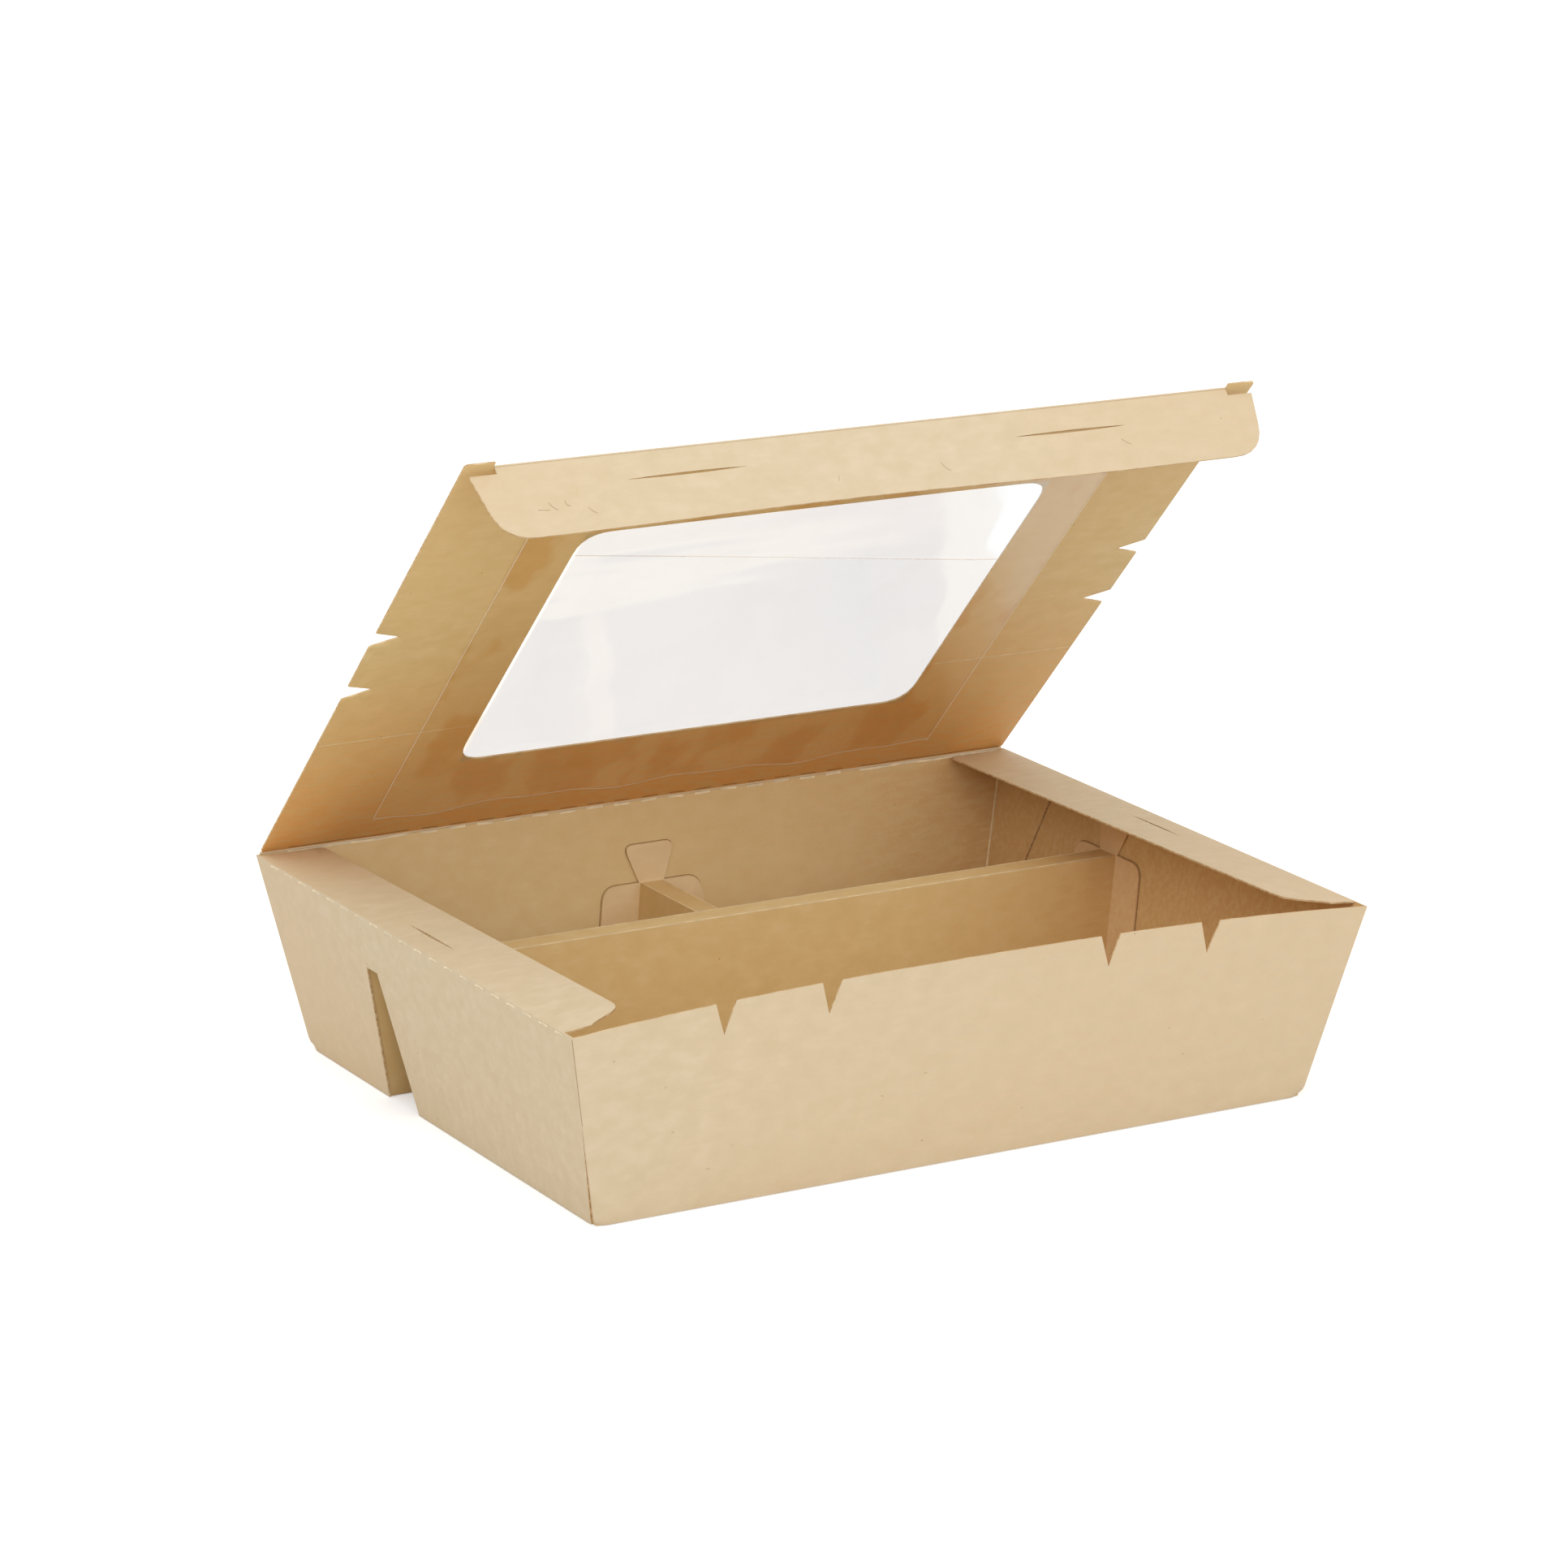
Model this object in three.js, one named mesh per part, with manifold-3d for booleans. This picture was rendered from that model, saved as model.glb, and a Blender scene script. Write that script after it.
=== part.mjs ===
// A three-compartment paperboard bento box with a hinged window lid.
// Millimetres, +Z up. The origin is the centre of the base's underside.
// +X runs along the long side, the front wall faces -Y and the lid hinges at +Y.
import * as THREE from "three";
import { mergeVertices } from "three/addons/utils/BufferGeometryUtils.js";
import Module from "manifold-3d";

const wasm = await Module();
wasm.setup();

// Sheets
const boardThickness = 0.45;
const filmThickness = 0.15;
const sheetGap = 0.2; // between two sheets that lie on each other
const cutMargin = 10; // cutting solids reach this far past what they cut

// Tray, outside
const topLength = 225;
const topWidth = 165.2;
const baseLength = 202.5;
const baseWidth = 148.2;
const trayHeight = 50.4;

// Front wall's upper edge and its two locking tabs between V notches
const frontRise = 3; // middle of the edge above its ends
const frontRisePower = 2.6;
const lockTabPitch = 108;
const lockTabShift = -2.5;
const lockTabTopWidth = 23.6;
const lockTabRootWidth = 28.8;
const lockNotchWidth = 5.6;
const lockNotchDepth = 8.3;

// Flanges folded inward from the end walls
const flangeWidth = 18;
const flangeStepSetback = 4.8; // front end, back from the front wall's outside
const flangeStepWidth = 8.5;
const flangeStepBevel = 1;
const flangeNoseSetback = 10.5; // inner front corner, back from the front wall's outside
const flangeHeelGap = 1; // rear end, short of the back wall's inside
const flangeNoseRadius = 4;
const flangeHeelRadius = 2;
const flangeSlitInset = 6.5;
const flangeSlitLength = 24;
const slitOpening = 0.7;

// Glue flaps of the front and back walls, inside the end walls
const glueFlapTopLength = 29;
const glueFlapFootLength = 7;
const glueFlapFootHeight = 2;
const glueFlapTopGap = 0.35;
const glueFlapSink = 0.05; // into the wall, which makes flap and wall one solid

// Gap at the foot of the front corners, where the end walls are cut
const cornerGapWidth = 1.3;
const cornerGapHeight = 27;

// Long divider, wall to wall, and short divider, from it to the back wall
const longRidge = {
  height: 36.6,
  topCentre: 24.7,
  topWidth: 7,
  baseCentre: 22.7,
  baseWidth: 17.6,
};
const shortRidge = {
  height: 29.2,
  topCentre: 0,
  topWidth: 6.8,
  baseCentre: 0,
  baseWidth: 16,
};
const wallNotchInset = 0.8; // outer walls' notches, inside the ridges' outlines
const ridgeFlapWidth = 11;
const ridgeFlapRadius = 4;
const ridgeFlapFootHeight = 1;
const fanHeight = 10;
const fanSpread = 4.2;
const fanRadius = 3;

// Lid
const lidWidth = 223;
const lidLength = 161.8;
const lidCornerRadius = 1.5;
const lidClearance = 0.3; // over the flanges when closed
const lidOpening = 48.1; // degrees at rest, from closed flat
const hingeInset = 0.2; // hinge line, in from the back wall's outside
const hingeGap = 0.1;
const earWidth = 8;
const earLength = 1.9;
const earRadius = 1.2;
const sideTabEdgeWidth = 16.8;
const sideTabRootWidth = 22.2;
const sideNotchWidth = 5.6;
const sideNotchDepth = 7.8;

// Window in the lid and the film glued behind it
const windowWidth = 134;
const windowNear = 31.5; // near and far edges, from the hinge
const windowFar = 129;
const windowRadius = 8;
const filmMargin = 16;
const filmNear = 9.5;
const filmFar = 148;
const filmGap = 0.12;
const filmRadius = 2;

// Tuck flap along the lid's front crease
const frontFlapFold = 96.1; // degrees at rest, down from the lid's plane
const frontFlapLength = 19.3;
const frontFlapTopWidth = 221;
const frontFlapTaper = 3.4; // at each end, over the flap's length
const frontFlapRadius = 9;
const creaseClearance = 0.1;
const frontSlitLength = 33;
const frontSlitOffset = 7.2;

const endSlope = (topLength - baseLength) / 2 / trayHeight;
const sideSlope = (topWidth - baseWidth) / 2 / trayHeight;
const beyond = Math.max(topLength, topWidth); // past every wall
const uncutTop = trayHeight + frontRise + cutMargin;
const cutTop = uncutTop + cutMargin;

// Half the tray's outside length or width at a height, less an inset of sheets
const halfLength = (z, inset = 0) =>
  baseLength / 2 + endSlope * z - inset * Math.hypot(1, endSlope);
const halfWidth = (z, inset = 0) =>
  baseWidth / 2 + sideSlope * z - inset * Math.hypot(1, sideSlope);

function solidOf(geometry) {
  const bare = geometry.clone();
  bare.deleteAttribute("normal");
  bare.deleteAttribute("uv");
  const merged = mergeVertices(bare, 1e-5);
  return new wasm.Manifold(
    new wasm.Mesh({
      numProp: 3,
      vertProperties: new Float32Array(merged.attributes.position.array),
      triVerts: new Uint32Array(merged.index.array),
    }),
  );
}

function meshOf(solid, name, material) {
  const { vertProperties, triVerts } = solid.getMesh();
  const geometry = new THREE.BufferGeometry();
  geometry.setAttribute(
    "position",
    new THREE.Float32BufferAttribute(vertProperties, 3),
  );
  geometry.setIndex(new THREE.Uint32BufferAttribute(triVerts, 1));
  geometry.computeVertexNormals();
  const mesh = new THREE.Mesh(geometry, material);
  mesh.name = name;
  return mesh;
}

// An outline from corners [x, y] or [x, y, radius], each radius limited by its sides
function outline(given) {
  const points = given.map(([x, y]) => new THREE.Vector2(x, y));
  const corners = THREE.ShapeUtils.isClockWise(points)
    ? [...given].reverse()
    : given;
  const shape = new THREE.Shape();
  corners.forEach(([x, y, radius = 0], i) => {
    const corner = new THREE.Vector2(x, y);
    const before = new THREE.Vector2(...corners.at(i - 1));
    const after = new THREE.Vector2(...corners[(i + 1) % corners.length]);
    const toBefore = before.sub(corner);
    const toAfter = after.sub(corner);
    const reach = Math.min(
      radius,
      toBefore.length() / 2.05,
      toAfter.length() / 2.05,
    );
    const start = toBefore.setLength(reach).add(corner);
    const end = toAfter.setLength(reach).add(corner);
    if (i === 0) shape.moveTo(start.x, start.y);
    else shape.lineTo(start.x, start.y);
    if (reach > 0) shape.quadraticCurveTo(x, y, end.x, end.y);
  });
  shape.closePath();
  return shape;
}

// A narrow slit, pointed at both ends and open by its width in the middle
function slit(x0, y0, x1, y1, width) {
  const along = new THREE.Vector2(x1 - x0, y1 - y0);
  const across = new THREE.Vector2(-along.y, along.x).setLength(width);
  const middle = new THREE.Vector2((x0 + x1) / 2, (y0 + y1) / 2);
  const path = new THREE.Path();
  path.moveTo(x0, y0);
  path.quadraticCurveTo(middle.x + across.x, middle.y + across.y, x1, y1);
  path.quadraticCurveTo(middle.x - across.x, middle.y - across.y, x0, y0);
  return path;
}

function extrusion(shape, depth) {
  return new THREE.ExtrudeGeometry(shape, {
    depth,
    bevelEnabled: false,
    curveSegments: 6,
  });
}

// Prisms of an outline in the YZ, XZ or XY plane
function prismAlongX(shape, from, to) {
  const turn = new THREE.Matrix4().makeBasis(
    new THREE.Vector3(0, 1, 0),
    new THREE.Vector3(0, 0, 1),
    new THREE.Vector3(1, 0, 0),
  );
  return solidOf(
    extrusion(shape, to - from).applyMatrix4(turn).translate(from, 0, 0),
  );
}

function prismAlongY(shape, from, to) {
  return solidOf(
    extrusion(shape, to - from).rotateX(Math.PI / 2).translate(0, to, 0),
  );
}

function prismAlongZ(shape, from, to) {
  return solidOf(extrusion(shape, to - from).translate(0, 0, from));
}

// A block with the tray's sloping sides, inset by a distance square to them
function taperedBlock(inset, bottom, top, widening = 1) {
  const block = new THREE.BoxGeometry(2, 2, 2);
  const corners = block.attributes.position;
  for (let i = 0; i < corners.count; i += 1) {
    const z = corners.getZ(i) < 0 ? bottom : top;
    corners.setXYZ(
      i,
      corners.getX(i) * halfLength(z, inset),
      corners.getY(i) * halfWidth(z, inset) * widening,
      z,
    );
  }
  return solidOf(block);
}

// A sheet on the inside of the walls, where an outline's prism meets it.
// Widening past 1 keeps it to the end walls.
function wallLayer(prism, inset, widening = 1) {
  const top = trayHeight;
  return prism
    .intersect(taperedBlock(inset, 0, top))
    .subtract(taperedBlock(inset + boardThickness, -top, 2 * top, widening));
}

// A ridge's cross-section from a foot height up, inset square to its sheet
function ridgeOutline(ridge, inset, foot) {
  const side = (sign) => {
    const base = ridge.baseCentre + (sign * ridge.baseWidth) / 2;
    const top = ridge.topCentre + (sign * ridge.topWidth) / 2;
    const slope = (top - base) / ridge.height;
    return (z) => base + slope * z - sign * inset * Math.hypot(1, slope);
  };
  const left = side(-1);
  const right = side(1);
  const top = ridge.height - inset;
  return outline([
    [left(foot), foot],
    [right(foot), foot],
    [right(top), top],
    [left(top), top],
  ]);
}

// The flaps at a ridge's end that are glued to the wall: one each side
function ridgeSideFlaps(ridge) {
  const foot = ridgeFlapFootHeight;
  const footHalf = ridge.baseWidth / 2 + ridgeFlapWidth;
  const topHalf = ridge.topWidth / 2 + ridgeFlapWidth;
  const top = ridge.height;
  return outline([
    [ridge.baseCentre - footHalf, foot],
    [ridge.baseCentre + footHalf, foot],
    [ridge.topCentre + topHalf, top, ridgeFlapRadius],
    [ridge.topCentre - topHalf, top, ridgeFlapRadius],
  ]);
}

// The fan-shaped tab that rises from a ridge's top strip up the wall
function ridgeFan(ridge) {
  const neck = ridge.height - 2 * boardThickness;
  const half = ridge.topWidth / 2;
  const top = ridge.height + fanHeight;
  return outline([
    [ridge.topCentre - half, neck],
    [ridge.topCentre + half, neck],
    [ridge.topCentre + half + fanSpread, top, fanRadius],
    [ridge.topCentre - half - fanSpread, top, fanRadius],
  ]);
}

// Height of the front wall's upper edge
function frontEdge(x) {
  const share = Math.min(1, Math.abs(x) / (topLength / 2));
  return trayHeight + frontRise * (1 - share ** frontRisePower);
}

function aboveFrontEdge() {
  const steps = 28;
  const corners = [];
  for (let i = 0; i <= steps; i += 1) {
    const x = topLength * (i / steps - 0.5);
    corners.push([x, frontEdge(x)]);
  }
  return outline([
    [-beyond, cutTop],
    [-beyond, trayHeight],
    ...corners,
    [beyond, trayHeight],
    [beyond, cutTop],
  ]);
}

// One V notch beside a locking tab, run past the wall's upper edge
function lockNotch(tabCentre, side) {
  const tipX = tabCentre + (side * lockTabRootWidth) / 2;
  const tipZ = frontEdge(tipX) - lockNotchDepth;
  const inner = tabCentre + (side * lockTabTopWidth) / 2;
  const outer = inner + side * lockNotchWidth;
  const past = 2; // in notch depths
  const above = (x) => [
    tipX + past * (x - tipX),
    tipZ + past * (frontEdge(x) - tipZ),
  ];
  return outline([[tipX, tipZ], above(inner), above(outer)]);
}

function cutFrontEdge(walls) {
  const frontInside = -halfWidth(0);
  const justBehind = boardThickness + sheetGap;
  const behindFront = outline([
    [-halfWidth(trayHeight, justBehind), trayHeight],
    [-halfWidth(cutTop, justBehind), cutTop],
    [beyond, cutTop],
    [beyond, trayHeight],
  ]);
  let cut = walls
    .subtract(prismAlongX(behindFront, -beyond, beyond))
    .subtract(prismAlongY(aboveFrontEdge(), -beyond, frontInside));
  for (const tab of [-1, 1])
    for (const side of [-1, 1]) {
      const centre = lockTabShift + (tab * lockTabPitch) / 2;
      cut = cut.subtract(
        prismAlongY(lockNotch(centre, side), -beyond, frontInside),
      );
    }
  return cut;
}

// Wedge at the foot of a front corner, through the end wall's own sheet
function cornerGap() {
  const start = (z) => -halfWidth(z, boardThickness + sheetGap);
  const wedge = outline([
    [start(0), 0],
    [start(0) + cornerGapWidth, 0],
    [start(cornerGapHeight), cornerGapHeight],
  ]);
  return prismAlongX(wedge, -beyond, beyond).subtract(
    taperedBlock(boardThickness, -cutMargin, trayHeight),
  );
}

function glueFlap(end) {
  const top = trayHeight - boardThickness - glueFlapTopGap;
  const foot = glueFlapFootHeight;
  return outline([
    [end * (halfWidth(foot) - glueFlapFootLength), foot],
    [end * beyond, foot],
    [end * beyond, top],
    [end * (halfWidth(trayHeight) - glueFlapTopLength), top],
  ]);
}

// A flange in plan on the end wall at side -1 or 1, with its locking slit
function flangeOutline(side) {
  const fold = halfLength(trayHeight, boardThickness / 2);
  const inner = fold - flangeWidth;
  const front = -halfWidth(trayHeight);
  const back = halfWidth(trayHeight, boardThickness) - flangeHeelGap;
  const step = front + flangeStepSetback;
  const stepX = fold - flangeStepWidth;
  const shape = outline(
    [
      [fold, step],
      [fold, back],
      [inner, back, flangeHeelRadius],
      [inner, front + flangeNoseSetback, flangeNoseRadius],
      [stepX, step + flangeStepBevel, flangeStepBevel],
      [stepX + flangeStepBevel, step],
    ].map(([x, y, radius]) => [side * x, y, radius]),
  );
  const slitX = side * (fold - flangeSlitInset);
  const slitHalf = flangeSlitLength / 2;
  shape.holes.push(slit(slitX, -slitHalf, slitX, slitHalf, slitOpening));
  return shape;
}

function outerCarton() {
  const flangeUnderside = trayHeight - boardThickness;
  let walls = taperedBlock(0, 0, uncutTop).subtract(
    taperedBlock(boardThickness, -cutMargin, cutTop),
  );
  for (const side of [-1, 1])
    walls = walls.add(
      prismAlongZ(flangeOutline(side), flangeUnderside, trayHeight + frontRise),
    );
  walls = cutFrontEdge(walls).subtract(cornerGap());
  const endNotch = ridgeOutline(longRidge, wallNotchInset, -cutMargin);
  const backNotch = ridgeOutline(shortRidge, wallNotchInset, -cutMargin);
  walls = walls
    .subtract(prismAlongX(endNotch, -beyond, beyond))
    .subtract(prismAlongY(backNotch, 0, beyond));
  const onWall = boardThickness - glueFlapSink;
  for (const end of [-1, 1])
    walls = walls.add(
      wallLayer(prismAlongX(glueFlap(end), -beyond, beyond), onWall, 2),
    );
  return walls;
}

function dividerFloor() {
  const clear = boardThickness + sheetGap;
  const space = taperedBlock(clear, 0, trayHeight);
  const behindLong = longRidge.topCentre;
  const outside = prismAlongX(ridgeOutline(longRidge, 0, 0), -beyond, beyond)
    .add(prismAlongY(ridgeOutline(shortRidge, 0, 0), behindLong, beyond))
    .intersect(space);
  const longHollow = ridgeOutline(longRidge, boardThickness, -cutMargin);
  const shortHollow = ridgeOutline(shortRidge, boardThickness, -cutMargin);
  const hollow = prismAlongX(longHollow, -beyond, beyond).add(
    prismAlongY(shortHollow, behindLong, beyond),
  );
  let sheet = taperedBlock(clear, 0, boardThickness).add(outside);
  for (const flap of [ridgeSideFlaps, ridgeFan]) {
    for (const [from, to] of [
      [-beyond, -baseLength / 4],
      [baseLength / 4, beyond],
    ])
      sheet = sheet.add(wallLayer(prismAlongX(flap(longRidge), from, to), clear));
    sheet = sheet.add(
      wallLayer(prismAlongY(flap(shortRidge), behindLong, beyond), clear),
    );
  }
  return sheet.subtract(hollow);
}

// Two V notches in the lid's right edge, on either side of a locking tab
function sideNotches() {
  const edge = lidWidth / 2;
  const tip = edge - sideNotchDepth;
  const tabMiddle = topWidth / 2 - hingeInset;
  const root = sideTabRootWidth / 2;
  const near = sideTabEdgeWidth / 2;
  const far = near + sideNotchWidth;
  return [
    [edge, tabMiddle - far],
    [tip, tabMiddle - root],
    [edge, tabMiddle - near],
    [edge, tabMiddle + near],
    [tip, tabMiddle + root],
    [edge, tabMiddle + far],
  ];
}

// A whole outline from its right half, whose y runs away from the hinge or crease
function bothSides(rightSide) {
  const leftSide = rightSide.map(([x, y, radius]) => [-x, y, radius]).reverse();
  const around = [...rightSide, ...leftSide];
  return outline(around.map(([x, y, radius]) => [x, -y, radius]));
}

// The lid in its own plane: x along the hinge, -y away from it
function lidPanel() {
  const half = lidWidth / 2;
  const crease = lidLength - boardThickness / 2 - creaseClearance;
  const ear = lidLength + earLength;
  const shape = bothSides([
    [half, hingeGap, lidCornerRadius],
    ...sideNotches(),
    [half, ear, earRadius],
    [half - earWidth, ear],
    [half - earWidth, crease],
  ]);
  shape.holes.push(
    bothSides([
      [windowWidth / 2, windowNear, windowRadius],
      [windowWidth / 2, windowFar, windowRadius],
    ]),
  );
  return prismAlongZ(shape, -boardThickness / 2, boardThickness / 2);
}

function windowFilm() {
  const half = windowWidth / 2 + filmMargin;
  const top = -boardThickness / 2 - filmGap;
  const shape = bothSides([
    [half, filmNear, filmRadius],
    [half, filmFar, filmRadius],
  ]);
  return prismAlongZ(shape, top - filmThickness, top);
}

// The tuck flap in its own plane: x along the crease, -y away from it
function frontFlap() {
  const half = frontFlapTopWidth / 2;
  const start = boardThickness / 2 + creaseClearance;
  const shoulder = lidWidth / 2 - earWidth - sheetGap;
  const shoulderDrop = earLength + sheetGap;
  const shape = bothSides([
    [shoulder, start],
    [shoulder, shoulderDrop],
    [half, shoulderDrop],
    [half - frontFlapTaper, frontFlapLength, frontFlapRadius],
  ]);
  for (const side of [-1, 1]) {
    const centre = (side * lockTabPitch) / 2;
    shape.holes.push(
      slit(
        centre - frontSlitLength / 2,
        -frontSlitOffset,
        centre + frontSlitLength / 2,
        -frontSlitOffset,
        slitOpening,
      ),
    );
  }
  return prismAlongZ(shape, -boardThickness / 2, boardThickness / 2);
}

function paperboard(color) {
  return new THREE.MeshStandardMaterial({ color, roughness: 0.85, metalness: 0 });
}

const film = new THREE.MeshStandardMaterial({
  color: 0xf2f2f0,
  roughness: 0.08,
  metalness: 0,
  transparent: true,
  opacity: 0.25,
});

// The flap hangs from the lid's front crease, and the lid from the back wall
const flapGroup = new THREE.Group();
flapGroup.position.set(0, -lidLength, 0);
flapGroup.rotation.x = THREE.MathUtils.degToRad(frontFlapFold);
flapGroup.add(meshOf(frontFlap(), "lid_front_flap", paperboard(0xe2cfab)));

const lidGroup = new THREE.Group();
lidGroup.position.set(
  0,
  halfWidth(trayHeight) - hingeInset,
  trayHeight + lidClearance + boardThickness / 2,
);
lidGroup.rotation.x = -THREE.MathUtils.degToRad(lidOpening);
lidGroup.add(
  meshOf(lidPanel(), "lid", paperboard(0xc3a473)),
  meshOf(windowFilm(), "window_film", film),
  flapGroup,
);

const box = new THREE.Group();
box.add(
  meshOf(outerCarton(), "outer_carton", paperboard(0xdecaa6)),
  meshOf(dividerFloor(), "divider_floor", paperboard(0xc9a873)),
  lidGroup,
);

export default box;
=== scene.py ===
import math
import random

import bmesh
import bpy
import numpy as np
from mathutils import Matrix, Vector


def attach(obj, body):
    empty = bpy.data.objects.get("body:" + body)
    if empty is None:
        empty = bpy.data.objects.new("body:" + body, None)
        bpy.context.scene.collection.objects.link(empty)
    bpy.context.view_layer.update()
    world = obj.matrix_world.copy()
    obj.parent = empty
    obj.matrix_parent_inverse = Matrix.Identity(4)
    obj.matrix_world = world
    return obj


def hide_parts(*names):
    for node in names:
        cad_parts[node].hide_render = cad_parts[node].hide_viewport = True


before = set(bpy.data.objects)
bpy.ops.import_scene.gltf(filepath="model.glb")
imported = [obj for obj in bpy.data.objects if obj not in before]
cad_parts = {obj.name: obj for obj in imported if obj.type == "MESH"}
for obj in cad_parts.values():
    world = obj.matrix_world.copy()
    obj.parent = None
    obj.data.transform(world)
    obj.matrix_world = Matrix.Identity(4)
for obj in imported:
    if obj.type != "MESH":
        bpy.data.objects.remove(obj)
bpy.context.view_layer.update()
random.seed(7)

# Lengths are in mm and are turned into metres where a mesh is made
MM = 0.001
X_AXIS = Vector((1, 0, 0))
Y_AXIS = Vector((0, 1, 0))
Z_AXIS = Vector((0, 0, 1))

# Tray
TOP_LENGTH = 225.0
TOP_WIDTH = 165.2
BASE_LENGTH = 202.5
BASE_WIDTH = 148.2
HEIGHT = 50.4
BOARD = 0.45
FLANGE_WIDTH = 18.0
CORNER_FOOT = 2.6  # height of the rounded lower corners
END_LEAN = 0.22  # how far an end wall leans out for each mm of height
SIDE_LEAN = 0.17  # the same for the front and back walls

# Lid, hinged at the back and shown open
HINGE_Y = TOP_WIDTH / 2 - 0.2
HINGE_Z = HEIGHT + 0.3 + BOARD / 2
LID_ANGLE = math.radians(48.1)
LID_LENGTH = 161.8
LID_HALF = 111.5
FLAP_FOLD = math.radians(96.1)
FLAP_LENGTH = 19.3

# Window and film, measured on the lid from its middle and from the hinge
WINDOW_HALF = 67.0
WINDOW_NEAR = 31.5
WINDOW_FAR = 129.0
FILM_HALF = 83.0
FILM_NEAR = 9.5
FILM_FAR = 148.0
FILM_DROP = BOARD / 2 + 0.24

# Dividers
LONG_TOP = 36.6
SHORT_TOP = 29.2


def half_length(z):
    """Half of the tray's outside length at a height."""
    return BASE_LENGTH / 2 + (TOP_LENGTH - BASE_LENGTH) / 2 * z / HEIGHT


def half_width(z):
    """Half of the tray's outside width at a height."""
    return BASE_WIDTH / 2 + (TOP_WIDTH - BASE_WIDTH) / 2 * z / HEIGHT


def linear(*srgb):
    """A colour given in 0-255 screen values, as the shaders take it."""
    parts = [c / 255 for c in srgb]
    return tuple(
        c / 12.92 if c <= 0.04045 else ((c + 0.055) / 1.055) ** 2.4 for c in parts
    ) + (1.0,)


# Places on the lid and the tuck flap: x along the hinge, u away from it, w up
def axes_matrix(x_axis, y_axis, z_axis, origin):
    m = Matrix.Identity(4)
    for column, vector in enumerate((x_axis, y_axis, z_axis, origin)):
        for row in range(3):
            m[row][column] = vector[row]
    return m


def panel_matrix(crease, angle):
    """A panel that leaves its crease toward the front, raised by an angle."""
    away = Vector((0, -math.cos(angle), math.sin(angle)))
    return axes_matrix(X_AXIS, away, away.cross(X_AXIS), crease)


def in_plane(matrix, co):
    """A point of a mesh in a panel's own x, u and w."""
    return matrix.inverted() @ (co / MM)


HINGE = Vector((0, HINGE_Y, HINGE_Z))
LID = panel_matrix(HINGE, LID_ANGLE)
FRONT_CREASE = LID @ Vector((0, LID_LENGTH, 0))
FLAP = panel_matrix(FRONT_CREASE, LID_ANGLE - FLAP_FOLD)
LID_AWAY = LID.to_3x3() @ Y_AXIS
FLAP_AWAY = FLAP.to_3x3() @ Y_AXIS


# Materials
class Nodes:
    """Short calls for building one material's node tree."""

    def __init__(self, name):
        self.material = bpy.data.materials.new(name)
        self.material.use_nodes = True
        self.tree = self.material.node_tree
        self.tree.nodes.clear()
        self.out = self.add("ShaderNodeOutputMaterial")

    def add(self, kind, inputs=None, **settings):
        node = self.tree.nodes.new(kind)
        for key, value in settings.items():
            setattr(node, key, value)
        for key, value in (inputs or {}).items():
            if isinstance(value, bpy.types.NodeSocket):
                self.tree.links.new(value, node.inputs[key])
            else:
                node.inputs[key].default_value = value
        return node

    def place(self):
        return self.add("ShaderNodeTexCoord").outputs["Object"]

    def noise(self, scale, stretch=(1, 1, 1), detail=3.0):
        mapping = self.add("ShaderNodeMapping", {"Vector": self.place(), "Scale": stretch})
        inputs = {"Vector": mapping.outputs[0], "Scale": scale, "Detail": detail}
        return self.add("ShaderNodeTexNoise", inputs).outputs["Fac"]

    def ramp(self, value, low, high, to_low=0.0, to_high=1.0):
        """Maps low to high onto another range, and stops at its ends."""
        inputs = {0: value, 1: low, 2: high, 3: to_low, 4: to_high}
        return self.add("ShaderNodeMapRange", inputs).outputs[0]

    def blend(self, share, a, b):
        """Colour a with a share of colour b over it."""
        return self.add("ShaderNodeMix", {0: share, 6: a, 7: b}, data_type="RGBA").outputs[2]

    def math(self, operation, a, b):
        return self.add("ShaderNodeMath", {0: a, 1: b}, operation=operation).outputs[0]

    def bump(self, height, strength, distance):
        inputs = {"Height": height, "Strength": strength, "Distance": distance}
        return self.add("ShaderNodeBump", inputs).outputs[0]

    def mix(self, share, a, b):
        """Shader a with a share of shader b over it."""
        inputs = {0: share, 1: a.outputs[0], 2: b.outputs[0]}
        return self.add("ShaderNodeMixShader", inputs)

    def finish(self, shader):
        self.tree.links.new(shader.outputs[0], self.out.inputs["Surface"])
        return self.material


SPECK_TONE = linear(120, 84, 48)


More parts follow.
